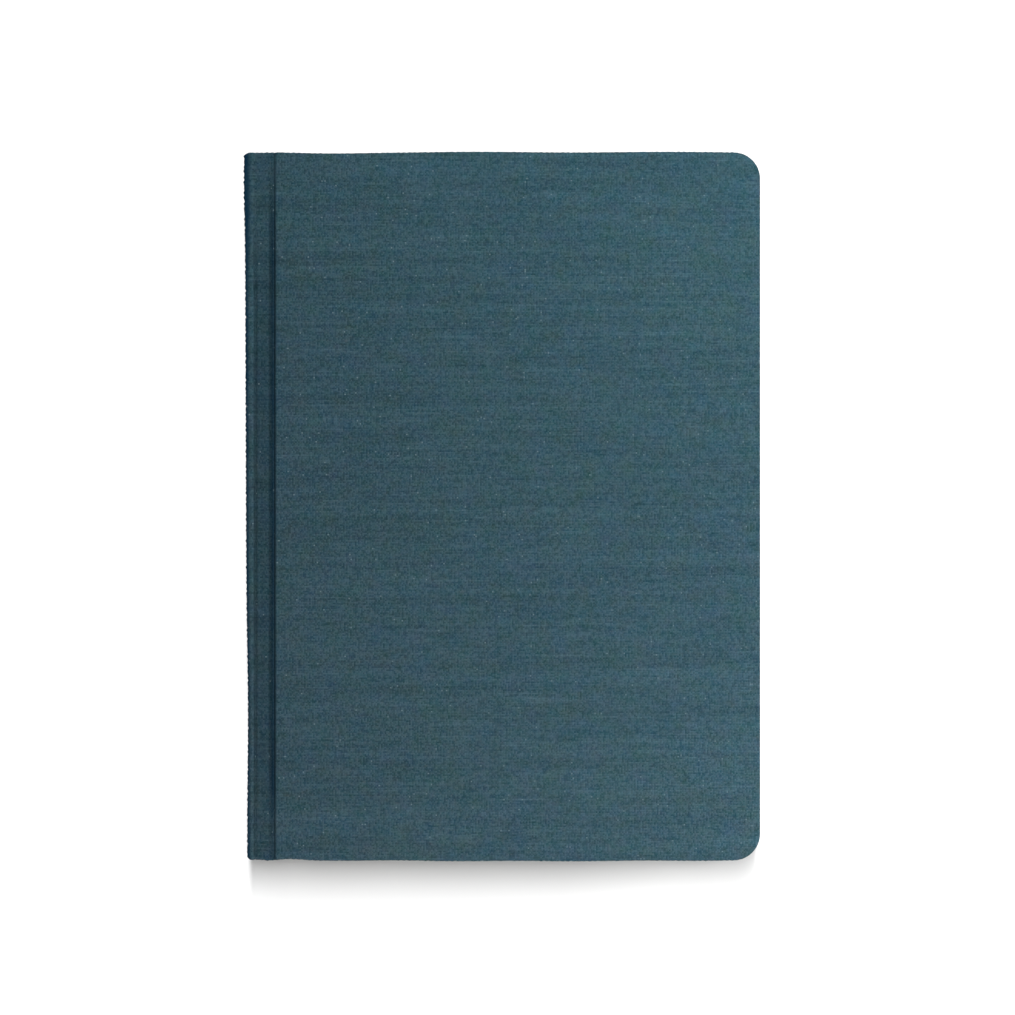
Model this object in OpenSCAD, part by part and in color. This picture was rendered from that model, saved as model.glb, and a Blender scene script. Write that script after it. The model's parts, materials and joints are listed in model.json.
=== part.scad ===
// Pilot logbook: a case-bound cloth book that lies closed on its back cover.
// +X runs from the spine to the fore-edge, +Y from the tail to the head, +Z up through the front cover.
// The origin is the middle of the back cover, on the surface that the book lies on.

/* [Case] */
// Width of the closed case, from the spine to the fore-edge
case_width = 157; // [120:1:220]
// Height of the case, from tail to head
case_height = 216; // [160:1:310]
// Thickness of the front and back boards
board_thickness = 2.2; // [1.5:0.1:3.5]
// Thickness of the bookcloth
cloth_thickness = 0.35; // [0.25:0.05:0.5]
// Radius of the boards' fore-edge corners, over the cloth
corner_radius = 8; // [4:0.5:12]
// How far the cloth is turned in over the inside of a board
turn_in = 15; // [10:1:20]

/* [Spine and joints] */
// Thickness of the stiff strip in the spine
spine_board_thickness = 2; // [1:0.1:2.5]
// How far the spine strip stands past each face of the block
spine_board_overhang = 1.4; // [0.8:0.1:1.6]
// Distance from the outside of the spine to the edge of each board
joint_width = 9.6; // [8:0.1:12]
// How far the groove in the joint lies under the cover's face
groove_depth = 2.3; // [1.5:0.1:2.4]

/* [Block] */
// How far the boards stand past the leaves at the head and the tail
end_square = 3; // [2:0.5:5]
// How far the front board stands past the leaves at the fore-edge
fore_square = 4; // [2:0.5:6]
// Distance from the outside of the spine to the folds of the sections
block_offset = 3.1; // [2.9:0.1:3.6]
// Radius of the leaves' fore-edge corners
leaf_radius = 6; // [2:0.5:9]
// Space that each section takes, fold to fold
section_pitch = 1; // [0.6:0.1:2]
// Thickness of the endpapers
endpaper = 0.15; // [0.1:0.05:0.2]

/* [Hidden] */
SECTIONS = 12;
FIRST_NODES = [
  "front_board", "back_board", "spine_board",
  "front_cloth", "back_cloth", "spine_cloth", "front_joint_cloth", "back_joint_cloth",
  "front_pastedown", "back_pastedown", "front_flyleaf", "back_flyleaf",
  "front_mull_wing", "back_mull_wing", "spine_mull", "spine_lining",
  "sewing_thread", "head_band", "tail_band"
];

$fn = 48;

// Colours
CLOTH = [0.23, 0.34, 0.39];
BOARD = [0.62, 0.60, 0.56];
ENDPAPER = [0.90, 0.88, 0.82];
PAGE = [0.93, 0.91, 0.84];
MULL = [0.88, 0.86, 0.78];
KRAFT = [0.66, 0.52, 0.36];
THREAD = [0.94, 0.93, 0.90];
BAND = [0.20, 0.30, 0.42];

// Air between pieces that are not glued to each other
gap = 0.05;
// Room between one section and the next
section_gap = 0.04;

// Heights, from the surface that the book lies on
back_board_z = cloth_thickness;
back_turn_in_z = back_board_z + board_thickness;
back_paste_z = back_turn_in_z + cloth_thickness;
back_fly_z = back_paste_z + endpaper + gap;
sections_z = back_fly_z + endpaper + gap;
sections_top = sections_z + SECTIONS * section_pitch;
front_fly_z = sections_top + gap;
block_top = front_fly_z + endpaper;
front_paste_z = block_top + gap;
front_turn_in_z = front_paste_z + endpaper;
front_board_z = front_turn_in_z + cloth_thickness;
front_cloth_z = front_board_z + board_thickness;
total_thickness = front_cloth_z + cloth_thickness;
middle_z = total_thickness / 2;

// Lengths across the book, from the outside of the spine
spine_x = -case_width / 2;
fore_x = case_width / 2;
head_y = case_height / 2;
leaf_end = case_width - fore_square;
leaf_head = head_y - end_square;
board_end = case_width - cloth_thickness;

// Spine strip and its linings
spine_board_low = back_fly_z - spine_board_overhang;
spine_board_high = block_top + spine_board_overhang;
lining_offset = cloth_thickness + spine_board_thickness + gap;
lining_thickness = 0.15;
mull_offset = lining_offset + lining_thickness;
mull_thickness = 0.22;
thread_offset = mull_offset + mull_thickness;
lining_inset = 5;
mull_inset = 13;
mull_wing_width = 26;

// Joint cloth: the dip beside the spine strip, the low swell over the shoulder, the groove at the board
joint_start = cloth_thickness + spine_board_thickness;
dip_offset = 3.4;
dip_depth = 0.35;
dip_width = 0.4;
swell_drop = 0.2;
swell_run = 2;
groove_offset = joint_width - 1.15;
groove_width = 0.85;
joint_step = 0.35;
spine_cloth_high = spine_board_high + cloth_thickness;

// Headbands
band_radius = 0.9;
band_tape = 0.15;
band_tape_length = 8;

// Sewing
thread_radius = 0.1;
stitch_rows = [-0.92, -0.56, -0.2, 0.2, 0.56, 0.92];

function two_digits(n) = str(n < 10 ? "0" : "", n);
function section_name(n) = str("section_", two_digits(n));

// How far a bump of a given middle and width reaches at a distance from the spine
function bump(offset, middle, width) = exp(-pow((offset - middle) / width, 2));

// Height of the joint cloth's outside over the joint, as it swells and dips
function joint_height(offset) =
  spine_cloth_high - swell_drop * min(1, (offset - joint_start) / swell_run)
  - dip_depth * bump(offset, dip_offset, dip_width)
  - (spine_cloth_high - swell_drop - total_thickness + groove_depth)
    * bump(min(offset, groove_offset), groove_offset, groove_width);

// Mirrors the front half of the book to its back half
module to_back() {
  translate([0, 0, total_thickness]) mirror([0, 0, 1]) children();
}

// Outline of a leaf or board, with its fore-edge corners round, from one offset to another
module outline(from, to, half_height, radius) {
  width = to - from;
  translate([spine_x + from, -half_height]) union() {
    square([width - radius, 2 * half_height]);
    translate([0, radius]) square([width, 2 * half_height - 2 * radius]);
    for (y = [radius, 2 * half_height - radius])
      translate([width - radius, y]) circle(r = radius);
  }
}

// Flat sheet or board in that outline
module sheet(from, to, half_height, radius, low, thickness) {
  translate([0, 0, low])
    linear_extrude(thickness) outline(from, to, half_height, radius);
}

// Plain strip between two offsets from the spine
module strip(from, to, half_height, low, thickness) {
  translate([spine_x + from, -half_height, low])
    cube([to - from, 2 * half_height, thickness]);
}

// Front and back boards
module cover_board() {
  radius = corner_radius - cloth_thickness;
  sheet(joint_width, board_end, head_y - cloth_thickness, radius, front_board_z, board_thickness);
}

module front_board() {
  color(BOARD) cover_board();
}

module back_board() {
  color(BOARD) to_back() cover_board();
}

module spine_board() {
  color(BOARD)
    strip(cloth_thickness, cloth_thickness + spine_board_thickness, head_y - cloth_thickness,
      spine_board_low, spine_board_high - spine_board_low);
}

// Cloth over a board: its face, its turned edges and the turn-ins inside
module cover_cloth() {
  thickness = total_thickness - front_turn_in_z;
  board_radius = corner_radius - cloth_thickness;
  difference() {
    sheet(joint_width, case_width, head_y, corner_radius, front_turn_in_z, thickness);
    sheet(joint_width - 1, board_end, head_y - cloth_thickness, board_radius,
      front_board_z, board_thickness);
    strip(joint_width - 1, case_width - turn_in, head_y - turn_in,
      front_turn_in_z - 1, cloth_thickness + 1);
  }
}

module front_cloth() {
  color(CLOTH) cover_cloth();
}

module back_cloth() {
  color(CLOTH) to_back() cover_cloth();
}

// Cloth round the spine strip
module spine_cloth() {
  low = spine_board_low - cloth_thickness;
  high = spine_cloth_high;
  color(CLOTH) difference() {
    strip(0, joint_start, head_y, low, high - low);
    strip(cloth_thickness, joint_start + 1, head_y - cloth_thickness,
      spine_board_low, spine_board_high - spine_board_low);
  }
}

// Cloth across the joint, from the spine strip to the board's edge and up that edge
module joint_cloth() {
  last = joint_width - cloth_thickness - gap;
  offsets = [for (x = [joint_start:joint_step:last]) x];
  outside = [for (x = offsets) [x, joint_height(x)]];
  inside = [for (i = [len(offsets) - 1:-1:0])
    [offsets[i], joint_height(offsets[i]) - cloth_thickness]];
  floor_height = joint_height(last);
  edge = [
    [joint_width - cloth_thickness, floor_height],
    [joint_width - cloth_thickness, total_thickness - cloth_thickness],
    [joint_width, total_thickness],
    [joint_width, floor_height - cloth_thickness]
  ];
  translate([spine_x, head_y, 0])
    rotate([90, 0, 0])
      linear_extrude(case_height) polygon(concat(outside, edge, inside));
}

module front_joint_cloth() {
  color(CLOTH) joint_cloth();
}

module back_joint_cloth() {
  color(CLOTH) to_back() joint_cloth();
}

// Endpapers: the half glued to the board, and the free half
module pastedown() {
  sheet(block_offset, leaf_end, leaf_head, leaf_radius, front_paste_z, endpaper);
}

module front_pastedown() {
  color(ENDPAPER) pastedown();
}

module back_pastedown() {
  color(ENDPAPER) to_back() pastedown();
}

module flyleaf() {
  sheet(block_offset, leaf_end, leaf_head, leaf_radius, front_fly_z, endpaper);
}

module front_flyleaf() {
  color(ENDPAPER) flyleaf();
}

module back_flyleaf() {
  color(ENDPAPER) to_back() flyleaf();
}

// One folded section: a flat stack of leaves with a round fold at the spine
module section(number) {
  thickness = section_pitch - section_gap;
  radius = thickness / 2;
  low = sections_top - number * section_pitch + section_gap / 2;
  color(PAGE) union() {
    sheet(block_offset + radius, leaf_end, leaf_head, leaf_radius, low, thickness);
    translate([spine_x + block_offset + radius, leaf_head, low + radius])
      rotate([90, 0, 0]) cylinder(h = 2 * leaf_head, r = radius);
  }
}

// Thread that ties the folds together, one row at each sewing station
module sewing_thread() {
  color(THREAD)
    for (place = stitch_rows)
      translate([spine_x + thread_offset + thread_radius, place * leaf_head, sections_z])
        cylinder(h = sections_top - sections_z, r = thread_radius);
}

// Gauze over the folds, and its wings on the boards under the pastedowns
module spine_mull() {
  color(MULL)
    strip(mull_offset, thread_offset, leaf_head - mull_inset, sections_z, sections_top - sections_z);
}

module mull_wing() {
  strip(block_offset, block_offset + mull_wing_width, leaf_head - mull_inset,
    front_turn_in_z, endpaper);
}

module front_mull_wing() {
  color(MULL) mull_wing();
}

module back_mull_wing() {
  color(MULL) to_back() mull_wing();
}

// Kraft paper over the gauze
module spine_lining() {
  color(KRAFT)
    strip(lining_offset, mull_offset, leaf_head - lining_inset,
      sections_z, sections_top - sections_z);
}

// Headband: a round bead at the end of the folds, on a tape glued to them
module headband() {
  height = sections_top - sections_z;
  tape_x = thread_offset;
  bead_x = block_offset + band_radius;
  bead_y = leaf_head + gap + band_radius;
  translate([spine_x, 0, sections_z]) union() {
    translate([bead_x, bead_y, 0]) cylinder(h = height, r = band_radius);
    translate([tape_x, leaf_head - band_tape_length, 0])
      cube([band_tape, band_tape_length + gap + band_radius, height]);
    translate([tape_x, leaf_head + gap, 0])
      cube([bead_x - tape_x, band_radius, height]);
  }
}

module head_band() {
  color(BAND) headband();
}

module tail_band() {
  color(BAND) mirror([0, 1, 0]) headband();
}

front_board();
back_board();
spine_board();
front_cloth();
back_cloth();
spine_cloth();
front_joint_cloth();
back_joint_cloth();
front_pastedown();
back_pastedown();
front_flyleaf();
back_flyleaf();
front_mull_wing();
back_mull_wing();
spine_mull();
spine_lining();
sewing_thread();
head_band();
tail_band();
for (n = [1:SECTIONS])
  section(n);
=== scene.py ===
import json
import math
import random

import bmesh
import bpy
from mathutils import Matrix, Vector

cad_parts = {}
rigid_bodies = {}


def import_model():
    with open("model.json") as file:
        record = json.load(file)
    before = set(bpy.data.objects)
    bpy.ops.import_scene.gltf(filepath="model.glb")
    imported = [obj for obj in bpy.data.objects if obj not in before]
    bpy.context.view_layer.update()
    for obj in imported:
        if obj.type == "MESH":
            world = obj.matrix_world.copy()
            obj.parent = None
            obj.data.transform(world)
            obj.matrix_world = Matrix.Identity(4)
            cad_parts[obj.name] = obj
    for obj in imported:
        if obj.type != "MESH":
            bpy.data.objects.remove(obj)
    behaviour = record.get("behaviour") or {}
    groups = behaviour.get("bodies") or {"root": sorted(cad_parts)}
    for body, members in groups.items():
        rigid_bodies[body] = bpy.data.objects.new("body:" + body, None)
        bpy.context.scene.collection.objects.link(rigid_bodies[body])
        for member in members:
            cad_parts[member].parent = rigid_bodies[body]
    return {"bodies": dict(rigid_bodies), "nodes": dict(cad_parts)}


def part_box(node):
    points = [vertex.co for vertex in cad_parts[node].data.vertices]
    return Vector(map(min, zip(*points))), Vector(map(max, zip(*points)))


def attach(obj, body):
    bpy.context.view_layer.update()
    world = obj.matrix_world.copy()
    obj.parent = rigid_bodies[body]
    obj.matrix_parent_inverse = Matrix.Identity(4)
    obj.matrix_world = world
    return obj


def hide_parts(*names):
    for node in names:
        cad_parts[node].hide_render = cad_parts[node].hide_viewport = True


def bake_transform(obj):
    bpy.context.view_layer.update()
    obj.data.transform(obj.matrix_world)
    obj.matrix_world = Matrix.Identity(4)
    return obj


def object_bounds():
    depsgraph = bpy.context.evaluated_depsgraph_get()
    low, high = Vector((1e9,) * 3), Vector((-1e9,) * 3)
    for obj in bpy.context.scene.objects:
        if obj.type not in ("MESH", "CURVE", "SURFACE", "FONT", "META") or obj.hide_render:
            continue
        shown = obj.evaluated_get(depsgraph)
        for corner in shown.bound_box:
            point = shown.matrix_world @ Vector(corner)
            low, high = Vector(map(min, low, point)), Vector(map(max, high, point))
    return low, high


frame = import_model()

# A closed case-bound pilot logbook. Lengths are in millimetres until a mesh is finished, then in metres.
# "Across" is the distance from the outside of the spine towards the fore-edge.
MM = 0.001
cad_low, cad_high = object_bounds()


def box(node):
    low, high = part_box(node)
    return low / MM, high / MM


# Measures of the case and the block, from the frame
SPINE_X = cad_low.x / MM
CASE_WIDTH = (cad_high.x - cad_low.x) / MM
HALF_HEIGHT = cad_high.y / MM
TOP = cad_high.z / MM
BOARD_START = box("front_board")[0].x - SPINE_X
COVER_DEPTH = TOP - box("front_cloth")[0].z
STRIP_LOW = box("spine_cloth")[0].z
STRIP_HIGH = box("spine_cloth")[1].z
BLOCK_START = box("front_flyleaf")[0].x - SPINE_X
LEAF_END = box("front_flyleaf")[1].x - SPINE_X
LEAF_HALF = box("front_flyleaf")[1].y
FLY_HIGH = box("front_flyleaf")[1].z
PASTE_LOW = box("front_pastedown")[0].z
PASTE_HIGH = box("front_pastedown")[1].z
WING_END = box("front_mull_wing")[1].x - SPINE_X
WING_HALF = box("front_mull_wing")[1].y

# Make of the case
CORNER = 8.0
LEAF_CORNER = 6.0
TURN_IN = 15.0
CLOTH = 0.25
EDGE_ROUND = 0.5
STRIP_WIDTH = 2.65
JOINT_CLOTH = 0.52
SHEET_START = 2.3
CREASE = 8.45
CREASE_DROP = 1.45
CREASE_FLOOR = 0.15
CREASE_SPINE_WALL = 1.25
CREASE_BOARD_WALL = 0.8
BOARD_SLOPE = (CREASE + CREASE_FLOOR, BOARD_START - 0.1)
TUCK = 0.95
SWELL = 0.7
STRIP_ROUND = 1.5
STRIP_INNER_ROUND = 0.8

# Distances from the middle between which the case's shape changes towards its head and its tail
HEAD_SLOPE = (62, 90)
TAIL_SLOPE = (75, 100)
DOUBLED_CLOTH = (86, 98)

# Make of the block
SHEETS = 4
PAPER = 0.1
LEAF_PITCH = 0.12

# Where the free endpapers and turned leaves are cut finer, measured across
LEAF_BEND = (BLOCK_START, 13.0)

# The bookcloth's weave: the gap from thread to thread, and how strongly each unevenness shows in its tone
THREAD_PITCH = 0.47
WEFT_TONE = 0.6
WARP_TONE = 0.18
PALE_SLUB = 0.4
DARK_SLUB = 0.12
GRAIN_TONE = 0.5
CROSSING_TONE = 0.62
# Painted shade of the weave's relief: raised threads lighter, sunken ones darker
PAINTED_RELIEF_SHADE = 0.12
FLECK_SHARE = 0.003

# Heights of the relief in each surface, in metres
BOOKCLOTH_RELIEF = 0.00009
FIBRE_RELIEF = 0.00005
LINEN_RELIEF = 0.00005
PAPER_RELIEF = 0.00003
GAUZE_RELIEF = 0.0002
SILK_RELIEF = 0.00006


# ---------------------------------------------------------------- mesh helpers


def smooth(low, high, value):
    t = min(1.0, max(0.0, (value - low) / (high - low)))
    return t * t * (3 - 2 * t)


def bell(value, middle, width):
    return math.exp(-(((value - middle) / width) ** 2))


def steps(low, high, count):
    return [low + (high - low) * i / count for i in range(count + 1)]


def cut(bm, places, axis):
    """Cuts the whole mesh with a plane at each place along an axis."""
    for place in places:
        point, normal = Vector((0, 0, 0)), Vector((0, 0, 0))
        point[axis], normal[axis] = place, 1
        bmesh.ops.bisect_plane(
            bm, geom=bm.verts[:] + bm.edges[:] + bm.faces[:], plane_co=point, plane_no=normal, dist=1e-4
        )


def plate(low_x, high_x, half, radius, both_sides=False):
    """A flat face with round corners at its high-x side, or at all four."""
    bm = bmesh.new()
    bmesh.ops.create_grid(bm, x_segments=1, y_segments=1, size=0.5)
    bmesh.ops.scale(bm, vec=(high_x - low_x, 2 * half, 1), verts=bm.verts)
    bmesh.ops.translate(bm, vec=((low_x + high_x) / 2, 0, 0), verts=bm.verts)
    middle = (low_x + high_x) / 2
    corners = [v for v in bm.verts if both_sides or v.co.x > middle]
    bmesh.ops.bevel(
        bm, geom=corners, offset=radius, segments=12, profile=0.5, affect="VERTICES", material=-1
    )
    return bm


def lay_pattern(bm, name, across=None):
    """A UV map in millimetres that runs over the face and down the sides, as cloth or paper lies."""
    layer = bm.loops.layers.uv.new(name)
    across = across or (lambda x: x)
    bm.normal_update()
    for face in bm.faces:
        flat = abs(face.normal.z) > 0.75
        for loop in face.loops:
            co = loop.vert.co
            down = 0 if flat else -co.z
            loop[layer].uv = (across(co.x) + down * face.normal.x, co.y + down * face.normal.y)


def make_object(name, bm, material, flip=False):
    """Turns a mesh in millimetres into an object in metres, for the back of the book flipped over."""
    if flip:
        bmesh.ops.scale(bm, vec=(1, 1, -1), verts=bm.verts)
        bmesh.ops.translate(bm, vec=(0, 0, TOP), verts=bm.verts)
    bmesh.ops.recalc_face_normals(bm, faces=bm.faces)
    bmesh.ops.scale(bm, vec=(MM, MM, MM), verts=bm.verts)
    mesh = bpy.data.meshes.new(name)
    bm.to_mesh(mesh)
    bm.free()
    mesh.materials.append(material)
    mesh.shade_smooth()
    mesh.set_sharp_from_angle(angle=math.radians(40))
    piece = bpy.data.objects.new(name, mesh)
    bpy.context.scene.collection.objects.link(piece)
    return piece


def bend_over(piece):
    """Bakes a piece's placement into its mesh, leaving it flat and without a body."""
    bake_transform(piece)


# ---------------------------------------------------------------- material helpers


class Tree:
    """A node tree, with short ways to add nodes and join them."""

    def __init__(self, tree):
        self.tree = tree

    def add(self, kind, inputs=None, **settings):
        node = self.tree.nodes.new(kind)
        for key, value in settings.items():
            setattr(node, key, value)
        for key, value in (inputs or {}).items():
            self.feed(node.inputs[key], value)
        return node

    def feed(self, socket, value):
        if isinstance(value, bpy.types.NodeSocket):
            self.tree.links.new(value, socket)
        else:
            socket.default_value = value

    def math(self, operation, *values):
        node = self.add("ShaderNodeMath", operation=operation)
        for socket, value in zip(node.inputs, values):
            self.feed(socket, value)
        return node.outputs[0]

    def times(self, first, second):
        return self.math("MULTIPLY", first, second)

    def plus(self, first, second):
        return self.math("ADD", first, second)

    def join(self, x, y, z=0.0):
        return self.add("ShaderNodeCombineXYZ", {"X": x, "Y": y, "Z": z}).outputs[0]

    def split(self, vector):
        return self.add("ShaderNodeSeparateXYZ", {"Vector": vector}).outputs

    def stretch(self, u, v, along, across, z=0.0):
        """A place to read noise at that is long one way: low numbers draw the noise out."""
        return self.join(self.times(u, along), self.times(v, across), z)

    def noise(self, vector, scale, detail=2.0, roughness=0.5):
        """Noise about zero, from -0.5 to 0.5."""
        node = self.add(
            "ShaderNodeTexNoise",
            {"Vector": vector, "Scale": scale, "Detail": detail, "Roughness": roughness},
        )
        return self.math("SUBTRACT", node.outputs[0], 0.5)

    def ramp(self, value, low, high):
        node = self.add("ShaderNodeMapRange", {"Value": value, "From Min": low, "From Max": high})
        return node.outputs[0]

    def mix(self, share, first, second):
        node = self.add("ShaderNodeMix", data_type="RGBA")
        self.feed(node.inputs[0], share)
        self.feed(node.inputs[6], first)
        self.feed(node.inputs[7], second)
        return node.outputs[2]

    def vector(self, operation, *values):
        node = self.add("ShaderNodeVectorMath", operation=operation)
        for socket, value in zip(node.inputs, values):
            self.feed(socket, value)
        return node.outputs[0]

    def scale(self, vector, factor):
        """A place or a colour times a number."""
        node = self.add("ShaderNodeVectorMath", operation="SCALE")
        self.feed(node.inputs[0], vector)
        self.feed(node.inputs["Scale"], factor)
        return node.outputs[0]


def group(name, inputs, outputs):
    """A new node group: its tree, what it is given and what it puts out."""
    tree = bpy.data.node_groups.new(name, "ShaderNodeTree")
    for socket_name, kind, value in inputs:
        socket = tree.interface.new_socket(socket_name, in_out="INPUT", socket_type=kind)
        if value is not None:
            socket.default_value = value
    for socket_name, kind in outputs:
        tree.interface.new_socket(socket_name, in_out="OUTPUT", socket_type=kind)
    nodes = Tree(tree)
    return nodes, nodes.add("NodeGroupInput").outputs, nodes.add("NodeGroupOutput").inputs


def weave_group():
    """Plain weave on a pattern in millimetres: its height, the tone of its threads with painted shade of its
    relief, and its pale flecks.
    """
    nodes, given, result = group(
        "weave",
        [("Vector", "NodeSocketVector", None), ("Pitch", "NodeSocketFloat", THREAD_PITCH)],
        [("Height", "NodeSocketFloat"), ("Tone", "NodeSocketFloat"), ("Fleck", "NodeSocketFloat")],
    )
    u, v, _ = nodes.split(given["Vector"])
    wander = nodes.times(nodes.noise(given["Vector"], 0.12, 1.0), 0.9)
    column = nodes.math("DIVIDE", nodes.plus(u, wander), given["Pitch"])
    row = nodes.math("DIVIDE", nodes.plus(v, wander), given["Pitch"])
    warp = nodes.math("FLOOR", column)
    weft = nodes.math("FLOOR", row)
    over = nodes.math("PINGPONG", nodes.plus(warp, weft), 1.0)
    across = nodes.math("ABSOLUTE", nodes.math("SINE", nodes.times(column, math.pi)))
    along = nodes.math("ABSOLUTE", nodes.math("SINE", nodes.times(row, math.pi)))
    warp_up = nodes.times(across, nodes.math("MULTIPLY_ADD", along, 0.5, 0.5))
    weft_up = nodes.times(along, nodes.math("MULTIPLY_ADD", across, 0.5, 0.5))
    lift = nodes.math("SUBTRACT", weft_up, warp_up)
    height = nodes.math("MULTIPLY_ADD", lift, over, warp_up)

    cell = nodes.add("ShaderNodeTexWhiteNoise", {"Vector": nodes.join(warp, weft)}).outputs["Value"]
    weft_noise = nodes.noise(nodes.stretch(u, weft, 0.05, 3.7), 1.0, 3.0)
    warp_noise = nodes.noise(nodes.stretch(warp, v, 3.7, 0.35, 9.0), 1.0, 2.0)
    slub = nodes.noise(nodes.stretch(u, v, 0.03, 1.9, 4.0), 1.0, 3.0)
    grain = nodes.noise(given["Vector"], 2.1, 2.0, 0.7)
    tone = nodes.plus(nodes.times(weft_noise, WEFT_TONE), nodes.times(warp_noise, WARP_TONE))
    for part in (
        nodes.times(nodes.ramp(slub, 0.08, 0.26), PALE_SLUB),
        nodes.times(nodes.ramp(slub, -0.1, -0.28), -DARK_SLUB),
        nodes.times(grain, GRAIN_TONE),
        nodes.math("MULTIPLY_ADD", cell, CROSSING_TONE, -CROSSING_TONE / 2),
        # painted shade: raised threads lighter, sunken ones darker
        nodes.math("MULTIPLY_ADD", height, PAINTED_RELIEF_SHADE, -PAINTED_RELIEF_SHADE / 2),
        1.0,
    ):
        tone = nodes.plus(tone, part)
    fleck = nodes.times(nodes.math("GREATER_THAN", cell, 1 - FLECK_SHARE), height)
    nodes.feed(result["Height"], height)
    nodes.feed(result["Tone"], tone)
    nodes.feed(result["Fleck"], fleck)
    return nodes.tree


def fibre_group():
    """Matted paper or board fibre: its height, its tone and its dark specks, on a place in millimetres."""
    nodes, given, result = group(
        "fibre",
        [("Vector", "NodeSocketVector", None), ("Size", "NodeSocketFloat", 1.0)],
        [("Height", "NodeSocketFloat"), ("Tone", "NodeSocketFloat"), ("Speck", "NodeSocketFloat")],
    )
    place = nodes.scale(given["Vector"], nodes.math("DIVIDE", 1.0, given["Size"]))
    fine = nodes.noise(place, 2.6, 4.0, 0.65)
    cloudy = nodes.noise(place, 0.12, 2.0)
    x, y, z = nodes.split(place)
    strand = nodes.noise(nodes.stretch(x, y, 0.5, 4.0, z), 1.0, 2.0)
    tone = nodes.math("MULTIPLY_ADD", fine, 0.1, nodes.math("MULTIPLY_ADD", cloudy, 0.08, 1.0))
    tone = nodes.math("MULTIPLY_ADD", strand, 0.06, tone)
    speck = nodes.ramp(nodes.noise(place, 1.1, 3.0, 0.8), 0.22, 0.3)
    nodes.feed(result["Height"], nodes.plus(fine, strand))
    nodes.feed(result["Tone"], tone)
    nodes.feed(result["Speck"], speck)
    return nodes.tree


WEAVE = weave_group()
FIBRE = fibre_group()


def new_material(name, roughness, specular=0.3, sheen=0.0):
    material = bpy.data.materials.new(name)
    material.use_nodes = True
    nodes = Tree(material.node_tree)
    surface = material.node_tree.nodes["Principled BSDF"]
    surface.inputs["Roughness"].default_value = roughness
    surface.inputs["Specular IOR Level"].default_value = specular
    surface.inputs["Sheen Weight"].default_value = sheen
    surface.inputs["Sheen Roughness"].default_value = 0.6
    return material, nodes, surface


def relief(nodes, surface, height, distance):
    bump = nodes.add("ShaderNodeBump", {"Height": height, "Distance": distance, "Strength": 1.0})
    nodes.feed(surface.inputs["Normal"], bump.outputs[0])


def object_place(nodes):
    """Object coordinates, in millimetres."""
    return nodes.scale(nodes.add("ShaderNodeTexCoord").outputs["Object"], 1 / MM)


def painted_light_gradient(nodes, u, v):
    """Painted light, by colour: the cloth made lighter to the fore-edge and the ends, most of all at the
    tail.
    """
    to_fore_edge = nodes.ramp(u, SPINE_X, SPINE_X + CASE_WIDTH)
    to_tail = nodes.times(v, -1 / HALF_HEIGHT)
    to_fore_edge = nodes.join(to_fore_edge, to_fore_edge, to_fore_edge)
    to_tail = nodes.join(to_tail, to_tail, to_tail)
    wide = nodes.vector("MULTIPLY_ADD", to_fore_edge, (0.31, 0.38, 0.37), (0.885, 0.872, 0.875))
    high = nodes.vector("MULTIPLY_ADD", to_tail, (0.068, 0.08, 0.087), (0.083, 0.017, 0.017))
    high = nodes.vector("MULTIPLY_ADD", to_tail, high, (1, 1, 1))
    return nodes.vector("MULTIPLY", wide, high)


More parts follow.
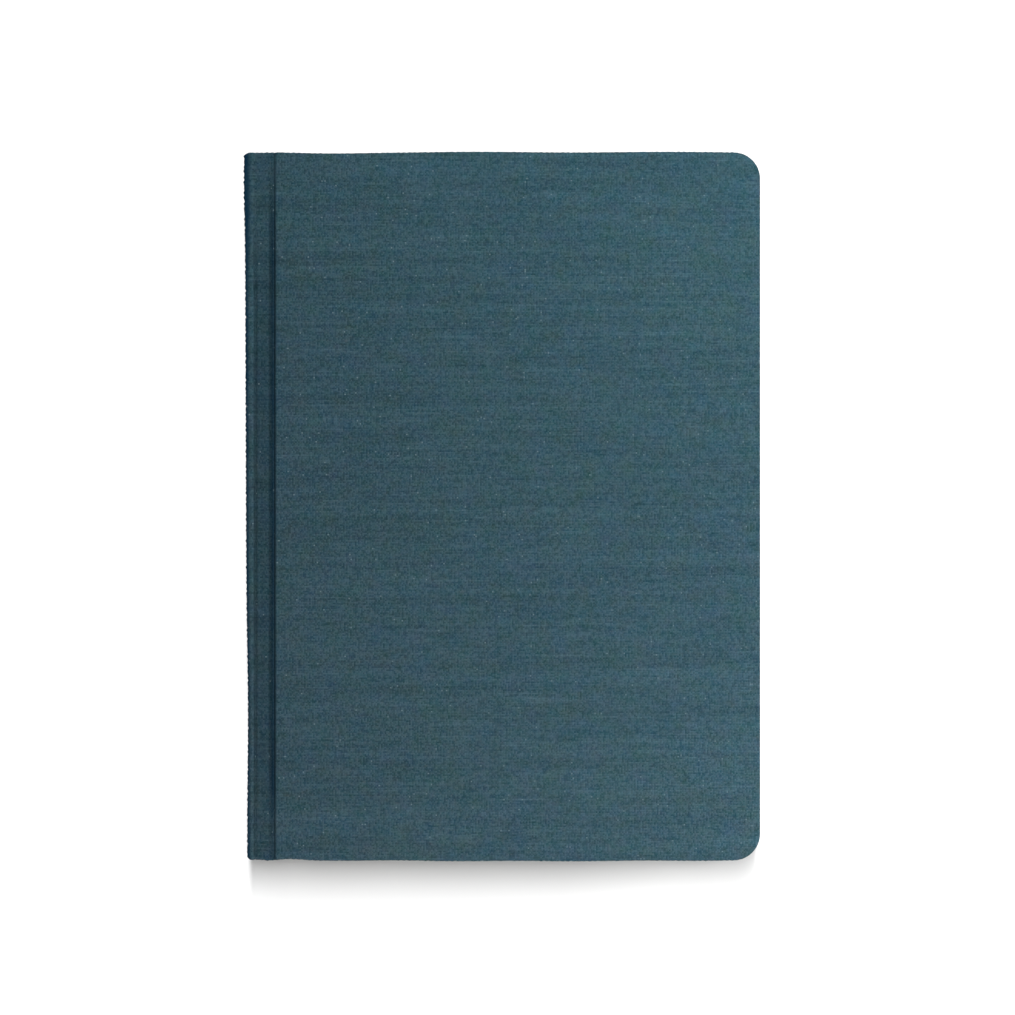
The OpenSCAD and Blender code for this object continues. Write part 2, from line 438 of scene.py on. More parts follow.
def bookcloth_material():
    """Teal bookcloth: banded plain weave with slubs, rubbed at its edges; painted light makes it lighter to
    the fore-edge and the ends, and painted shade, with some soil in the joint, darkens the joint, the crease
    and the spine strip's edge.
    """
    green, blue = (0.0252, 0.0548, 0.0655, 1), (0.0232, 0.0514, 0.0702, 1)
    grey_thread, pale_fleck = (0.040, 0.052, 0.060, 1), (0.12, 0.17, 0.19, 1)
    painted_shade_and_dirt_colour, rubbed = (0.001, 0.016, 0.034, 1), (0.05, 0.09, 0.11, 1)
    thread_colour, dye_colour = (1.3, 0.93, 0.84), (1.2, 0.16, 0.85)

    material, nodes, surface = new_material("bookcloth", 0.85, specular=0.05)
    place = nodes.add("ShaderNodeUVMap", uv_map="cloth").outputs[0]
    weave = nodes.add("ShaderNodeGroup", node_tree=WEAVE)
    nodes.feed(weave.inputs["Vector"], place)
    u, v, _ = nodes.split(place)

    colour = nodes.mix(nodes.plus(nodes.noise(place, 0.02, 2.0), 0.5), green, blue)
    grey = nodes.ramp(nodes.noise(place, 0.9, 1.0), 0.05, 0.3)
    colour = nodes.mix(nodes.times(grey, 0.3), colour, grey_thread)
    bands = nodes.times(nodes.noise(nodes.stretch(u, v, 0.008, 0.26), 1.0, 3.0), 0.43)
    mottle = nodes.math("MULTIPLY_ADD", nodes.noise(place, 0.055, 2.0), 0.06, nodes.plus(bands, 1.0))
    # Painted light: the colour is made lighter towards the fore-edge and the ends.
    colour = nodes.scale(nodes.vector("MULTIPLY", colour, painted_light_gradient(nodes, u, v)), mottle)

    thread_tone = nodes.scale(thread_colour, nodes.math("SUBTRACT", weave.outputs["Tone"], 1.0))
    dye_noise = {"Vector": place, "Scale": 0.14, "Detail": 5.0, "Roughness": 0.85}
    dyed = nodes.add("ShaderNodeTexNoise", dye_noise).outputs["Color"]
    dyed = nodes.vector("MULTIPLY", nodes.vector("SUBTRACT", dyed, (0.5, 0.5, 0.5)), dye_colour)
    thread_tone = nodes.vector("ADD", nodes.vector("ADD", thread_tone, dyed), (1.0, 1.0, 1.0))
    colour = nodes.vector("MULTIPLY", colour, thread_tone)

    # Painted shade, with some soil in the joint: the cloth darkens towards a dark navy in the crease, the
    # joint and along the spine strip's edge.
    painted_shade_and_soil = nodes.add("ShaderNodeAttribute", attribute_name="painted_shade_and_soil").outputs["Fac"]
    patches = nodes.noise(nodes.stretch(u, v, 0.7, 0.09), 1.0, 3.0)
    painted_shade_and_soil = nodes.times(painted_shade_and_soil, nodes.math("MULTIPLY_ADD", patches, 0.7, 0.6))
    colour = nodes.mix(painted_shade_and_soil, colour, painted_shade_and_dirt_colour)
    rub = nodes.add("ShaderNodeAttribute", attribute_name="rub").outputs["Fac"]
    worn = nodes.times(rub, nodes.ramp(nodes.noise(place, 0.35, 4.0, 0.7), -0.1, 0.3))
    colour = nodes.mix(nodes.times(worn, 0.3), colour, rubbed)
    colour = nodes.mix(nodes.times(weave.outputs["Fleck"], 0.75), colour, pale_fleck)
    nodes.feed(surface.inputs["Base Color"], colour)
    nodes.feed(surface.inputs["Roughness"], nodes.math("MULTIPLY_ADD", weave.outputs["Tone"], -0.1, 0.92))
    relief(nodes, surface, weave.outputs["Height"], BOOKCLOTH_RELIEF)
    return material


def fibre_material(name, colour, speck_colour, size=1.0, speck=0.4):
    """Board or paper with matted fibre and specks."""
    material, nodes, surface = new_material(name, 0.9)
    fibre = nodes.add("ShaderNodeGroup", node_tree=FIBRE)
    nodes.feed(fibre.inputs["Vector"], object_place(nodes))
    fibre.inputs["Size"].default_value = size
    shown = nodes.scale(colour, fibre.outputs["Tone"])
    shown = nodes.mix(nodes.times(fibre.outputs["Speck"], speck), shown, speck_colour)
    nodes.feed(surface.inputs["Base Color"], shown)
    relief(nodes, surface, fibre.outputs["Height"], FIBRE_RELIEF)
    return material


def page_material():
    """Log paper: off-white, with thin ruled rows and columns under a tinted heading row, and no lettering."""
    material, nodes, surface = new_material("log_paper", 0.88)
    place = nodes.add("ShaderNodeUVMap", uv_map="sheet").outputs[0]
    fibre = nodes.add("ShaderNodeGroup", node_tree=FIBRE)
    nodes.feed(fibre.inputs["Vector"], place)
    u, v, _ = nodes.split(place)
    out = nodes.math("ABSOLUTE", u)
    row_gap, table_low, table_high, heading = 7.2, -86.4, 79.2, 93.6
    columns = (9.0, 27.0, 45.0, 58.0, 71.0, 84.0, 97.0, 110.0, 127.0, 144.0)
    line = 0.16
    inside = nodes.math("GREATER_THAN", out, columns[0] - line)
    for part in (
        nodes.math("LESS_THAN", out, columns[-1] + line),
        nodes.math("GREATER_THAN", v, table_low - line),
        nodes.math("LESS_THAN", v, heading + line),
    ):
        inside = nodes.times(inside, part)
    in_rows = nodes.math("LESS_THAN", v, table_high + line)
    offset = nodes.math("ABSOLUTE", nodes.math("WRAP", v, row_gap / 2, -row_gap / 2))
    lines = nodes.times(nodes.math("LESS_THAN", offset, line / 2), in_rows)
    for level in (table_low, table_high, heading):
        lines = nodes.math("MAXIMUM", lines, nodes.math("COMPARE", v, level, line))
    for column in columns:
        lines = nodes.math("MAXIMUM", lines, nodes.math("COMPARE", out, column, line * 0.6))
    lines = nodes.times(lines, inside)
    head = nodes.times(nodes.math("GREATER_THAN", v, table_high), inside)
    banded = nodes.math("LESS_THAN", nodes.math("WRAP", v, 2 * row_gap, 0.0), row_gap)
    banded = nodes.times(nodes.times(banded, in_rows), inside)
    rule_ink, band_tint, heading_tint = (0.05, 0.12, 0.17, 1), (0.40, 0.47, 0.44, 1), (0.24, 0.36, 0.40, 1)
    colour = nodes.scale((0.50, 0.48, 0.42), fibre.outputs["Tone"])
    colour = nodes.mix(nodes.times(banded, 0.5), colour, band_tint)
    colour = nodes.mix(nodes.times(head, 0.6), colour, heading_tint)
    colour = nodes.mix(nodes.times(lines, 0.85), colour, rule_ink)
    nodes.feed(surface.inputs["Base Color"], colour)
    relief(nodes, surface, fibre.outputs["Height"], PAPER_RELIEF)
    return material


def gauze_material():
    """Starched open gauze."""
    material, nodes, surface = new_material("gauze", 0.9)
    weave = nodes.add("ShaderNodeGroup", node_tree=WEAVE)
    x, y, z = nodes.split(object_place(nodes))
    nodes.feed(weave.inputs["Vector"], nodes.join(nodes.plus(x, z), y))
    weave.inputs["Pitch"].default_value = 1.1
    mesh = nodes.math("MULTIPLY_ADD", weave.outputs["Height"], 0.7, 0.35)
    colour = nodes.scale((0.55, 0.52, 0.43), nodes.times(weave.outputs["Tone"], mesh))
    nodes.feed(surface.inputs["Base Color"], colour)
    relief(nodes, surface, weave.outputs["Height"], GAUZE_RELIEF)
    return material


def thread_material():
    """White linen thread, with its twist."""
    material, nodes, surface = new_material("linen_thread", 0.7, sheen=0.2)
    x, y, z = nodes.split(object_place(nodes))
    turn = nodes.math("MULTIPLY_ADD", z, 9.0, nodes.times(nodes.plus(x, y), 14.0))
    ply = nodes.math("ABSOLUTE", nodes.math("SINE", turn))
    colour = nodes.scale((0.58, 0.56, 0.50), nodes.math("MULTIPLY_ADD", ply, 0.25, 0.78))
    nodes.feed(surface.inputs["Base Color"], colour)
    relief(nodes, surface, ply, LINEN_RELIEF)
    return material


def headband_material():
    """Silky band wound in navy and cream."""
    material, nodes, surface = new_material("headband_silk", 0.5, specular=0.5, sheen=0.3)
    x, y, z = nodes.split(object_place(nodes))
    wound = nodes.math("MULTIPLY_ADD", x, 0.35, z)
    stripe = nodes.math("LESS_THAN", nodes.math("WRAP", wound, 1.6, 0.0), 0.8)
    strand = nodes.math("ABSOLUTE", nodes.math("SINE", nodes.times(wound, math.pi / 0.2)))
    colour = nodes.mix(stripe, (0.03, 0.07, 0.12, 1), (0.52, 0.47, 0.36, 1))
    colour = nodes.scale(colour, nodes.math("MULTIPLY_ADD", strand, 0.3, 0.75))
    nodes.feed(surface.inputs["Base Color"], colour)
    relief(nodes, surface, strand, SILK_RELIEF)
    return material


BOOKCLOTH = bookcloth_material()
GREYBOARD = fibre_material("greyboard", (0.30, 0.275, 0.235), (0.12, 0.10, 0.08, 1), size=1.4)
ENDPAPER = fibre_material("endpaper", (0.47, 0.445, 0.375), (0.36, 0.31, 0.22, 1), size=0.8, speck=0.3)
KRAFT = fibre_material("kraft", (0.36, 0.23, 0.12), (0.20, 0.12, 0.06, 1))
LOG_PAPER = page_material()
GAUZE = gauze_material()
THREAD = thread_material()
HEADBAND = headband_material()


# ---------------------------------------------------------------- the case


def filled_crease(y):
    """How much of the crease the turned-in cloth fills near its ends, more at the head."""
    return (0.5 if y < 0 else 0.75) * smooth(*DOUBLED_CLOTH, abs(y))


def level_joint(y):
    """How nearly the joint lies level with the spine strip: fully at the head, half at the tail."""
    return smooth(*HEAD_SLOPE, y) + 0.5 * smooth(*TAIL_SLOPE, -y)


def cover_height(across, y=0.0):
    """Height of the cloth's face: tucked by the spine strip, swelling, down in the crease, up the board."""
    tucked = TUCK * (1 - smooth(2.75, 3.9, across)) * (1 - 0.85 * level_joint(y))
    swell = SWELL * smooth(3.6, 7.6, across)
    wall = CREASE_BOARD_WALL if across > CREASE else CREASE_SPINE_WALL
    depth = (wall + CREASE_FLOOR - abs(across - CREASE)) / wall
    crease = CREASE_DROP * (1 - filled_crease(y)) * min(1.0, max(0.0, depth))
    joint = STRIP_HIGH - 0.2 - tucked + swell - crease
    return joint + (TOP - joint) * smooth(*BOARD_SLOPE, across)


def cloth_depth(across):
    """Thickness of what the cloth wraps round: itself in the joint, the board beyond it."""
    return JOINT_CLOTH + (COVER_DEPTH - JOINT_CLOTH) * smooth(*BOARD_SLOPE, across)


def frayed(place, seed):
    """Fine unevenness of a cloth edge along its length."""
    knots = math.sin(place * 2.3 + 2 * seed) * math.sin(place * 0.7 + seed)
    return 0.05 * math.sin(place * 3.9 + seed) + 0.045 * knots


def head_wave(across):
    """Small unevenness of the case's ends, the head lower beside the joint."""
    return -0.42 * bell(across, 24, 15) + 0.1 * math.sin(across * 0.11)


def tail_wave(across):
    near_joint = 0.35 * bell(across, 14, 4.5) - 0.25 * bell(across, 7.5, 2.5)
    return near_joint - 0.25 * bell(across, 88, 45) + 0.08 * math.sin(across * 0.17)


def strip_lean(y):
    """How far the spine strip leans out at the head and in at the tail."""
    return -0.35 * y / HALF_HEIGHT - 0.35 * bell(y, 99, 14) + 0.4 * bell(y, -62, 25)


def lengths_of_cloth(start, stop, count):
    """A function that gives the length of the cloth's face up to a distance across."""
    places = steps(start, stop, count)
    heights = [cover_height(place) for place in places]
    run = [0.0]
    for i in range(count):
        run.append(run[-1] + math.hypot(places[i + 1] - places[i], heights[i + 1] - heights[i]))
    extra = run[-1] - (stop - start)

    def length(x):
        across = x - SPINE_X
        if across >= stop:
            return x + extra
        share = max(0.0, (across - start) / (stop - start)) * count
        i = min(count - 1, int(share))
        return SPINE_X + start + run[i] + (run[i + 1] - run[i]) * (share - i)

    return length


def rim_edges(bm, level, inner):
    """Edges between a face at a level and the rim, leaving out the spine side."""
    found = []
    for edge in bm.edges:
        if len(edge.link_faces) != 2 or any(abs(v.co.z - level) > 1e-3 for v in edge.verts):
            continue
        if any(v.co.x > inner for v in edge.verts):
            upright = [abs(face.normal.z) < 0.5 for face in edge.link_faces]
            if any(upright) and not all(upright):
                found.append(edge)
    return found


def mark_wear_and_painted_shade(bm, low, high, inner, half):
    """Marks in point attributes the rounded edges, where cloth rubs, and the crease and the joint, darkened
    by painted shade, with some soil in the joint.
    """
    rub = bm.verts.layers.float.new("rub")
    painted_shade_and_soil = bm.verts.layers.float.new("painted_shade_and_soil")
    for vert in bm.verts:
        across = vert.co.x - SPINE_X
        near_edge = abs(vert.co.y) > half - 0.7 or vert.co.x > inner
        vert[rub] = 1.0 if near_edge and low < vert.co.z < high else 0.0
        # Painted shade: darkest in the crease, less where the turned-in cloth fills it; the joint gets a
        # lighter mix of painted shade and soil.
        in_crease = min(1.0, 1.15 * bell(across, CREASE - 0.1, 0.85)) * (1 - filled_crease(vert.co.y))
        in_joint = 0.3 * smooth(2.6, 5, across) * (1 - smooth(CREASE, CREASE + 1, across))
        vert[painted_shade_and_soil] = max(in_joint * (1 - level_joint(vert.co.y)), in_crease)


def cover_cloth(name, nodes, flip):
    """The cloth of one cover and its joint: pulled over the board, turned in all round, bent at the joint."""
    low, high = SPINE_X + SHEET_START, SPINE_X + CASE_WIDTH
    bm = plate(low, high, HALF_HEIGHT, CORNER)
    cuts = steps(SHEET_START, BOARD_START + 1, 42)[1:]
    cuts += steps(BOARD_START + 1, CASE_WIDTH - TURN_IN, 160)[1:]
    cuts += steps(CASE_WIDTH - 14, CASE_WIDTH, 18)[:-1]
    cut(bm, [SPINE_X + place for place in cuts], 0)
    ends = HALF_HEIGHT - TURN_IN
    cut(bm, steps(-ends, ends, 30) + [-HALF_HEIGHT + 5, HALF_HEIGHT - 5], 1)
    bmesh.ops.solidify(bm, geom=bm.faces[:], thickness=COVER_DEPTH)
    bmesh.ops.recalc_face_normals(bm, faces=bm.faces)
    for level, radius, segments in ((0.0, EDGE_ROUND, 4), (-COVER_DEPTH, 0.4, 2)):
        bmesh.ops.bevel(
            bm, geom=rim_edges(bm, level, low + 0.01), offset=radius, segments=segments,
            profile=0.5, affect="EDGES", material=-1, clamp_overlap=True,
        )
    bm.normal_update()
    open_faces = [
        face for face in bm.faces
        if abs(face.calc_center_median().y) < ends
        and (face.normal.z < -0.9 and face.calc_center_median().x < high - TURN_IN
             or face.calc_center_median().x < low + 0.01)
    ]
    bmesh.ops.delete(bm, geom=open_faces, context="FACES")
    lay_pattern(bm, "cloth", lengths_of_cloth(SHEET_START, BOARD_START + 1, 120))
    mark_wear_and_painted_shade(bm, -1.2, -0.02, high - 0.7, HALF_HEIGHT)
    for vert in bm.verts:
        across = vert.co.x - SPINE_X
        share = -vert.co.z / COVER_DEPTH
        vert.co.z = cover_height(across, vert.co.y) - share * cloth_depth(across)
        wave = head_wave(across) if vert.co.y > 0 else tail_wave(across)
        vert.co.y += wave * smooth(HALF_HEIGHT - 25, HALF_HEIGHT, abs(vert.co.y))
        fray = frayed(across, 1.0 if vert.co.y > 0 else 4.0)
        vert.co.y += fray * smooth(HALF_HEIGHT - 1.5, HALF_HEIGHT, abs(vert.co.y))
    bmesh.ops.solidify(bm, geom=bm.faces[:], thickness=CLOTH)
    piece = make_object(name, bm, BOOKCLOTH, flip)
    bend_over(piece)
    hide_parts(*nodes)
    return piece


def lean_strip(bm):
    """Leans the spine strip's outer side, so its long edges are a little out of true."""
    for vert in bm.verts:
        share = 1 - (vert.co.x - SPINE_X) / STRIP_WIDTH
        vert.co.x += share * strip_lean(vert.co.y)


def bar(low_x, high_x, half, half_depth, outer_round, inner_round):
    """A long bar along the spine, its outer and inner long edges rounded."""
    bm = bmesh.new()
    bmesh.ops.create_cube(bm, size=1)
    bmesh.ops.scale(bm, vec=(high_x - low_x, 2 * half, 2 * half_depth), verts=bm.verts)
    bmesh.ops.translate(bm, vec=((low_x + high_x) / 2, 0, 0), verts=bm.verts)
    inner = [edge for edge in bm.edges
             if edge.calc_length() > half and all(v.co.x > high_x - 0.01 for v in edge.verts)]
    bmesh.ops.bevel(bm, geom=inner, offset=inner_round, segments=5, profile=0.5, affect="EDGES", material=-1)
    outer = [edge for edge in bm.edges if all(v.co.x < low_x + 0.01 for v in edge.verts)]
    bmesh.ops.bevel(bm, geom=outer, offset=outer_round, segments=7, profile=0.5, affect="EDGES", material=-1)
    return bm


def spine_cloth():
    """The cloth round the spine strip: its outside, its long edges and its turned ends."""
    half_depth = (STRIP_HIGH - STRIP_LOW) / 2
    bm = bar(SPINE_X, SPINE_X + STRIP_WIDTH, HALF_HEIGHT, half_depth, STRIP_ROUND, STRIP_INNER_ROUND)
    ends = HALF_HEIGHT - TURN_IN
    cut(bm, steps(-HALF_HEIGHT + 1.6, HALF_HEIGHT - 1.6, 320) + [-ends, ends], 1)
    cut(bm, steps(-half_depth + STRIP_ROUND, half_depth - STRIP_ROUND, 6), 2)
    bm.normal_update()
    open_faces = [face for face in bm.faces
                  if face.normal.x > 0.9 and abs(face.calc_center_median().y) < ends]
    bmesh.ops.delete(bm, geom=open_faces, context="FACES")
    layer = bm.loops.layers.uv.new("cloth")
    bm.normal_update()
    for face in bm.faces:
        for loop in face.loops:
            co = loop.vert.co
            on_top = abs(face.normal.z) > 0.7
            along = co.x if on_top else SPINE_X - (half_depth - co.z)
            end = co.x - SPINE_X if abs(face.normal.y) > 0.6 else HALF_HEIGHT - abs(co.y)
            loop[layer].uv = (along, math.copysign(HALF_HEIGHT - end, co.y))
    rub = bm.verts.layers.float.new("rub")
    painted_shade_and_soil = bm.verts.layers.float.new("painted_shade_and_soil")
    for vert in bm.verts:
        edge_gap = HALF_HEIGHT - abs(vert.co.y)
        across = vert.co.x - SPINE_X
        vert[rub] = 1 - smooth(0.1, 0.6, edge_gap) if across < 1.8 else 0
        # Painted shade: darkens the strip near the spine's outside, most on its rounded long edges, over a
        # wider reach towards the head and the tail.
        in_edge = smooth(half_depth - 1.9, half_depth - 0.9, abs(vert.co.z))
        painted_shade_reach = 1.35 + 1.15 * smooth(*HEAD_SLOPE, vert.co.y) + 0.45 * smooth(*TAIL_SLOPE, -vert.co.y)
        vert[painted_shade_and_soil] = (1 - smooth(0.3, painted_shade_reach, across)) * (0.15 + 1.5 * in_edge)
        vert.co.x += (1 - across / STRIP_WIDTH) * frayed(vert.co.y, 2.0) * 2.2
    lean_strip(bm)
    bmesh.ops.translate(bm, vec=(0, 0, (STRIP_LOW + STRIP_HIGH) / 2), verts=bm.verts)
    bmesh.ops.solidify(bm, geom=bm.faces[:], thickness=CLOTH)
    piece = make_object("spine_strip_cloth", bm, BOOKCLOTH)
    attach(piece, "text_block")
    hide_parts("spine_cloth")


def spine_board():
    """The stiff strip inside the spine."""
    low, high = box("spine_board")
    bm = bar(low.x + 0.05, high.x, high.y, (high.z - low.z) / 2, 0.9, 0.5)
    cut(bm, steps(-high.y, high.y, 60)[1:-1], 1)
    lean_strip(bm)
    bmesh.ops.translate(bm, vec=(0, 0, (low.z + high.z) / 2), verts=bm.verts)
    piece = make_object("spine_stiffener", bm, GREYBOARD)
    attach(piece, "text_block")
    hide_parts("spine_board")


def cover_board(side, flip):
    """A cover board: dense greyboard with its cut edges softened and its fore-edge corners rounded."""
    low, high = box("front_board")
    bm = plate(low.x, high.x - 0.05, high.y - 0.5, CORNER - 0.5)
    bmesh.ops.solidify(bm, geom=bm.faces[:], thickness=high.z - low.z - 0.06)
    bmesh.ops.recalc_face_normals(bm, faces=bm.faces)
    rims = [edge for edge in bm.edges if abs(edge.verts[0].co.z - edge.verts[1].co.z) < 0.01]
    bmesh.ops.bevel(bm, geom=rims, offset=0.3, segments=3, profile=0.5, affect="EDGES", material=-1)
    bmesh.ops.translate(bm, vec=(0, 0, high.z - 0.03), verts=bm.verts)
    piece = make_object(f"{side}_greyboard", bm, GREYBOARD, flip)
    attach(piece, f"{side}_cover")
    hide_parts(f"{side}_board")


# ---------------------------------------------------------------- endpapers and gauze


def pastedown(name, node, flip):
    """An endpaper half glued to a board: it sinks inside the turned-in cloth."""
    bm = plate(SPINE_X + BLOCK_START, SPINE_X + LEAF_END, LEAF_HALF, LEAF_CORNER)
    step = 1.4
    side = CASE_WIDTH - TURN_IN
    end = HALF_HEIGHT - TURN_IN
    cuts = steps(BLOCK_START, 10, 22)[1:] + [40, 80, 120, side - step, side]
    cut(bm, [SPINE_X + place for place in cuts], 0)
    cut(bm, [-end, -end + step, -45, 0, 45, end - step, end], 1)
    lay_pattern(bm, "sheet")
    for vert in bm.verts:
        across = vert.co.x - SPINE_X
        in_side = 1 - smooth(side - step, side, across)
        in_end = 1 - smooth(end - step, end, abs(vert.co.y))
        vert.co.z = PASTE_HIGH + 0.15 * in_side * in_end
    bmesh.ops.solidify(bm, geom=bm.faces[:], thickness=PASTE_HIGH - PASTE_LOW - 0.03)
    piece = make_object(name, bm, ENDPAPER, flip)
    bend_over(piece)
    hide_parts(node)


def flyleaf(name, node, flip):
    """The free half of an endpaper, lying flat."""
    bm = plate(SPINE_X + BLOCK_START, SPINE_X + LEAF_END, LEAF_HALF, LEAF_CORNER)
    cut(bm, [SPINE_X + place for place in steps(*LEAF_BEND, 22)[1:] + [30, 60, 90, 120]], 0)
    cut(bm, [-60, 0, 60], 1)
    lay_pattern(bm, "sheet")
    bmesh.ops.translate(bm, vec=(0, 0, FLY_HIGH - 0.01), verts=bm.verts)
    bmesh.ops.solidify(bm, geom=bm.faces[:], thickness=0.12)
    piece = make_object(name, bm, ENDPAPER, flip)
    bend_over(piece)
    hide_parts(node)


def mull_wing(name, node, flip):
    """The gauze between a board and its pastedown, with a ragged edge."""
    bm = plate(SPINE_X + BLOCK_START, SPINE_X + WING_END, WING_HALF, 1.0)
    cut(bm, [SPINE_X + place for place in steps(BLOCK_START, 10, 22)[1:] + [16, 22]], 0)
    cut(bm, steps(-WING_HALF + 2, WING_HALF - 2, 60), 1)
    ragged = random.Random(3)
    for vert in bm.verts:
        if vert.co.x > SPINE_X + WING_END - 0.1:
            vert.co.x -= ragged.uniform(0, 1.2)
        vert.co.z = PASTE_HIGH + 0.25
    bmesh.ops.solidify(bm, geom=bm.faces[:], thickness=0.07)
    piece = make_object(name, bm, GAUZE, flip)
    bend_over(piece)
    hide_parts(node)


# ---------------------------------------------------------------- the block


def folded_sheet(bm, fold_radius, middle, outer_radius, turns, chance):
    """Adds one sheet of log paper, folded in half round its fold, with slightly uneven cut edges."""
    fold_x = SPINE_X + BLOCK_START + 0.05 + outer_radius - fold_radius
    quarter = math.pi * fold_radius / 2
    reach = SPINE_X + LEAF_END - fold_x - fold_radius + quarter
    sheet = plate(-reach, reach, LEAF_HALF, LEAF_CORNER, both_sides=True)
    cuts = [quarter * share for share in (0, 0.5, 1)]
    cuts += steps(0.6, LEAF_BEND[1] - BLOCK_START, 18) if turns else [8, 70]
    cut(sheet, sorted({sign * place for place in cuts for sign in (-1, 1)}), 0)
    lay_pattern(sheet, "sheet")
    trim = {sign: (chance.uniform(-0.07, 0.05), chance.uniform(-0.05, 0.05)) for sign in (-1, 1)}
    for vert in sheet.verts:
        along, y = vert.co.x, vert.co.y
        sign = 1 if along > 0 else -1
        if abs(along) < quarter:
            angle = along / fold_radius
            x, z = fold_x + fold_radius * (1 - math.cos(angle)), fold_radius * math.sin(angle)
        else:
            x, z = fold_x + fold_radius + abs(along) - quarter, sign * fold_radius
        edge = smooth(reach - 30, reach, abs(along))
        end = smooth(LEAF_HALF - 10, LEAF_HALF, abs(y))
        x += trim[sign][0] * edge
        y += trim[sign][1] * end
        vert.co = (x, y, middle + z)
    bmesh.ops.solidify(sheet, geom=sheet.faces[:], thickness=PAPER)
    bmesh.ops.recalc_face_normals(sheet, faces=sheet.faces)
    part = bpy.data.meshes.new("sheet")
    sheet.to_mesh(part)
    sheet.free()
    bm.from_mesh(part)
    bpy.data.meshes.remove(part)


def section(number):
    """One section: four sheets folded one inside the other."""
    node = f"section_{number:02d}"
    low, high = box(node)
    middle = (low.z + high.z) / 2
    turns = node in frame["bodies"]
    chance = random.Random(number)
    outer_radius = (SHEETS - 0.5) * LEAF_PITCH
    bm = bmesh.new()
    for sheet_number in range(SHEETS):
        folded_sheet(bm, (sheet_number + 0.5) * LEAF_PITCH, middle, outer_radius, turns, chance)
    piece = make_object(f"{node}_leaves", bm, LOG_PAPER)
    if turns:
        bend_over(piece)
    else:
        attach(piece, "text_block")
    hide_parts(node)


def headband(node, name):
    """A headband: a core wound with thread, on its tape."""
    low, high = box(node)
    sign = 1 if high.y > 0 else -1
    reach, core, tape, winding = 0.9, 0.84, 0.14, 0.8
    core_x, core_y = high.x - reach, sign * (max(abs(low.y), abs(high.y)) - reach)
    length = high.z - low.z - 0.1
    middle = (low.z + high.z) / 2
    bm = bmesh.new()
    bmesh.ops.create_cone(bm, cap_ends=True, segments=20, radius1=core, radius2=core, depth=length)
    cut(bm, steps(-length / 2, length / 2, 120)[1:-1], 2)
    for vert in bm.verts:
        around = math.atan2(vert.co.y, vert.co.x)
        wound = abs(math.sin(math.pi * vert.co.z / winding + around / 2))
        swell = 1 + 0.05 * wound
        vert.co.x *= swell
        vert.co.y *= swell
    bmesh.ops.translate(bm, vec=(core_x, core_y, middle), verts=bm.verts)
    for depth, width, place in (
        (tape, high.y - low.y - reach, (low.x + 0.08, (low.y + high.y) / 2 - sign * 0.45, middle)),
        (core_x - low.x - 0.1, 0.4, ((core_x + low.x) / 2, core_y - sign * 0.5, middle)),
    ):
        strip = bmesh.ops.create_cube(bm, size=1)["verts"]
        bmesh.ops.scale(bm, vec=(depth, width, length), verts=strip)
        bmesh.ops.translate(bm, vec=place, verts=strip)
    piece = make_object(name, bm, HEADBAND)
    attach(piece, "text_block")
    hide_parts(node)


def finish_node(node, material):
    """Gives a piece that is carried over from the frame its finish."""
    piece = frame["nodes"][node]
    piece.data.materials.clear()
    piece.data.materials.append(material)


# ---------------------------------------------------------------- stage


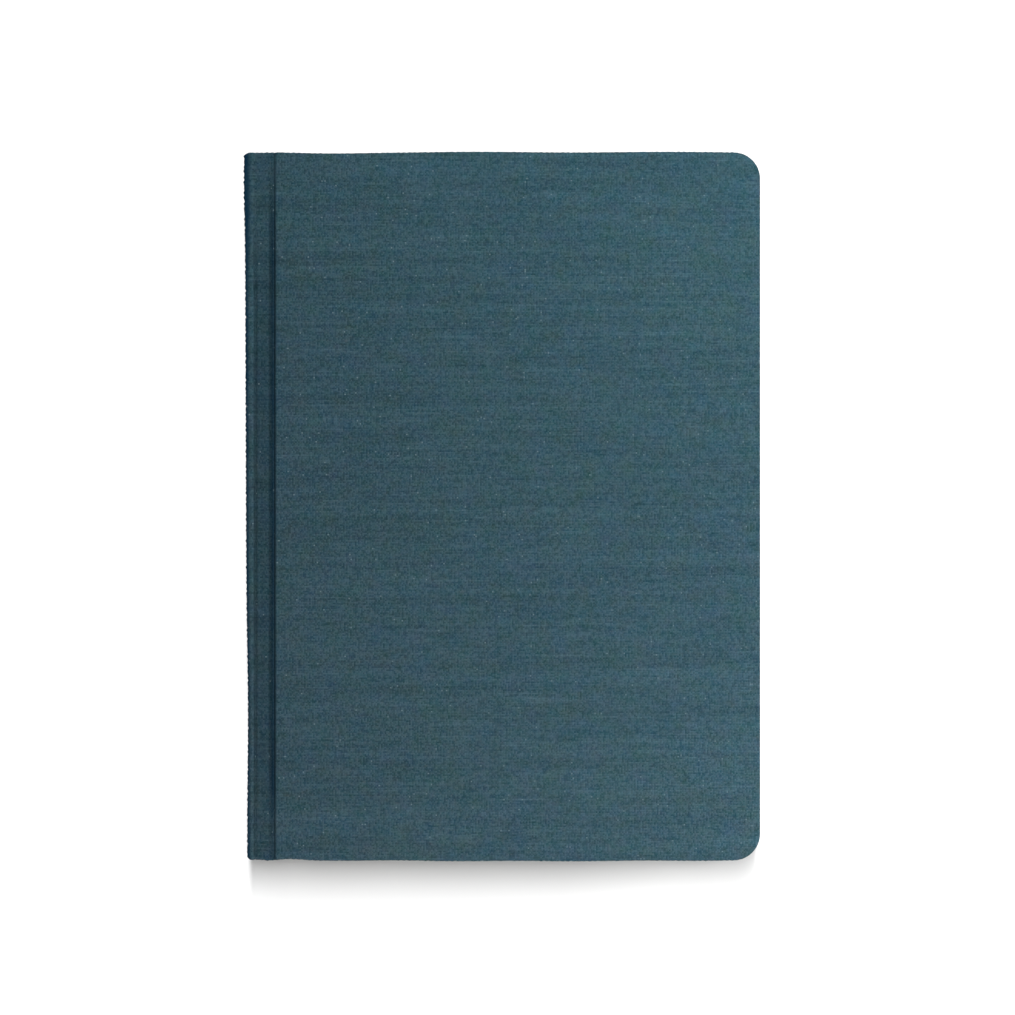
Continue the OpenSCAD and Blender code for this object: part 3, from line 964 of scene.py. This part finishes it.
def make_stage():
    """Pale floor, a soft high key from the head side, a low light at the fore-edge, a room paler low down."""
    floor_radius, floor_gap = 0.9, 0.0002
    bm = bmesh.new()
    bmesh.ops.create_circle(bm, cap_ends=True, radius=floor_radius, segments=64)
    bmesh.ops.translate(bm, vec=(0, 0, -floor_gap), verts=bm.verts)
    mesh = bpy.data.meshes.new("floor")
    bm.to_mesh(mesh)
    bm.free()
    floor = bpy.data.objects.new("floor", mesh)
    bpy.context.scene.collection.objects.link(floor)
    material, _, surface = new_material("pale_floor", 0.9)
    surface.inputs["Base Color"].default_value = (0.83, 0.83, 0.83, 1)
    mesh.materials.append(material)

    def softbox(name, place, size, power):
        data = bpy.data.lights.new(name, "AREA")
        data.shape = "RECTANGLE"
        data.size, data.size_y = size
        data.energy = power
        light = bpy.data.objects.new(name, data)
        light.location = place
        light.rotation_euler = (Vector() - Vector(place)).to_track_quat("-Z", "Y").to_euler()
        bpy.context.scene.collection.objects.link(light)

    softbox("key", (0.0, 1.35, 2.75), (0.35, 2.9), 126)
    softbox("fore_edge_fill", (0.54, -0.06, 0.16), (0.5, 0.05), 3.4)
    world = bpy.data.worlds.new("room")
    world.use_nodes = True
    room = Tree(world.node_tree)
    room_light = world.node_tree.nodes["Background"].inputs
    room_light["Color"].default_value = (1, 1, 1, 1)
    _, _, height = room.split(room.add("ShaderNodeTexCoord").outputs["Generated"])
    overhead_strength, low_gain = 0.3, 0.6
    low_down = room.ramp(height, 0.25, 0.05)
    strength = room.math("MULTIPLY_ADD", low_down, low_gain, overhead_strength)
    room.feed(room_light["Strength"], strength)
    bpy.context.scene.world = world
    bpy.context.scene.view_settings.view_transform = "Standard"


def make_camera():
    """Looks straight down on the front cover, with the head at the top, from far enough to flatten it."""
    data = bpy.data.cameras.new("camera")
    data.lens = 120
    camera = bpy.data.objects.new("camera", data)
    framed_width = 0.3095
    distance = framed_width / 2 / (data.sensor_width / 2 / data.lens)
    off_centre = (0.00146, -0.0004)
    camera.location = (*off_centre, cad_high.z + distance)
    camera.rotation_euler = (0, 0, 0)
    bpy.context.scene.collection.objects.link(camera)
    bpy.context.scene.camera = camera


make_camera()
make_stage()
for side, flip in (("front", False), ("back", True)):
    cover_cloth(f"{side}_cover_cloth", [f"{side}_cloth", f"{side}_joint_cloth"], flip)
    pastedown(f"{side}_pasted_endpaper", f"{side}_pastedown", flip)
    flyleaf(f"{side}_free_endpaper", f"{side}_flyleaf", flip)
    mull_wing(f"{side}_gauze_wing", f"{side}_mull_wing", flip)
    cover_board(side, flip)
spine_cloth()
for number in range(1, 13):
    section(number)
headband("head_band", "head_wound_band")
headband("tail_band", "tail_wound_band")
spine_board()
finish_node("spine_mull", GAUZE)
finish_node("spine_lining", KRAFT)
finish_node("sewing_thread", THREAD)
